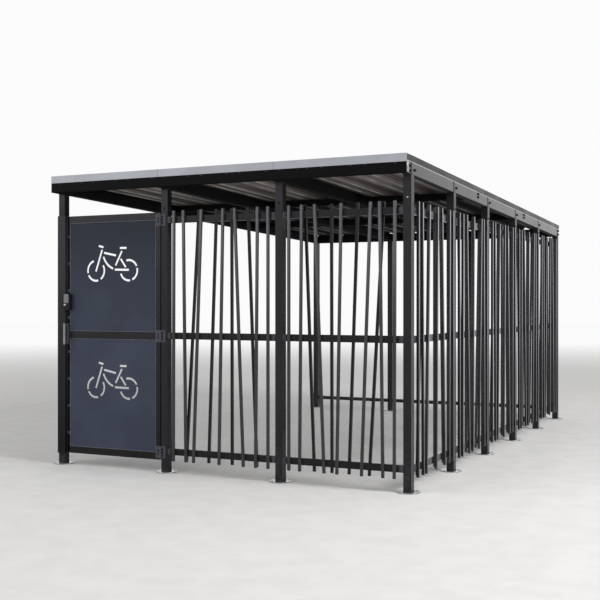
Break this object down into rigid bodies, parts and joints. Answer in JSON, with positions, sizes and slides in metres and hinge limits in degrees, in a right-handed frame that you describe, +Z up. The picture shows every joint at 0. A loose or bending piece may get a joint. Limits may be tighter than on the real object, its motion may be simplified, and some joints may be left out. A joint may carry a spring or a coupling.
{
  "type": "bike shelter",
  "caption": "Low-pitched steel bike shelter with walls of leaning bars, a ribbed metal roof and a hinged door with a cut-out bicycle sign.",
  "frame": {"origin": "bottom centre of the bounding box, on the ground under the roof", "axes": "+X to the right along the door front, +Y from the front to the rear, +Z up"},
  "size_m": [3.165, 5.2104, 2.3551],
  "materials": {
    "frame_paint": "satin powder coat",
    "door_sheet": "satin powder coat",
    "fascia": "satin powder coat",
    "roof_sheet": "coated ribbed steel sheet",
    "hinge_steel": "satin powder coat",
    "lock_case": "satin grey",
    "handle": "brushed"
  },
  "bodies": {
    "shelter": {"fascia": "fascia", "front_beam": "frame_paint", "front_panel_1": "frame_paint", "front_panel_2": "frame_paint", "front_post_1": "frame_paint", "front_post_2": "frame_paint", "front_post_3": "frame_paint", "front_post_4": "frame_paint", "left_verge": "frame_paint", "post_hinges": "hinge_steel", "purlin_1": "frame_paint", "purlin_2": "frame_paint", "rafter_1": "frame_paint", "rafter_2": "frame_paint", "rafter_3": "frame_paint", "rafter_4": "frame_paint", "rear_beam": "frame_paint", "rear_low_rail": "frame_paint", "rear_post_1": "frame_paint", "rear_post_2": "frame_paint", "rear_post_3": "frame_paint", "rear_post_4": "frame_paint", "right_panel_1": "frame_paint", "right_panel_2": "frame_paint", "right_panel_3": "frame_paint", "right_panel_4": "frame_paint", "right_panel_5": "frame_paint", "right_post_1": "frame_paint", "right_post_2": "frame_paint", "right_post_3": "frame_paint", "right_post_4": "frame_paint", "right_verge": "frame_paint", "roof_sheet_1": "roof_sheet", "roof_sheet_2": "roof_sheet", "roof_sheet_3": "roof_sheet"},
    "door": {"door_frame": "frame_paint", "door_upper_sheet": "door_sheet", "door_lower_sheet": "door_sheet", "door_hinges": "hinge_steel", "lock_case": "lock_case", "pull_handle": "handle", "lock_cover_strip": "frame_paint"}
  },
  "joints": [
    {"name": "door_hinge", "type": "hinge", "parent": "shelter", "child": "door", "pos_m": [-0.534, -2.51633, 0], "axis": [0, 0, 1], "range_deg": [0, 110]}
  ]
}
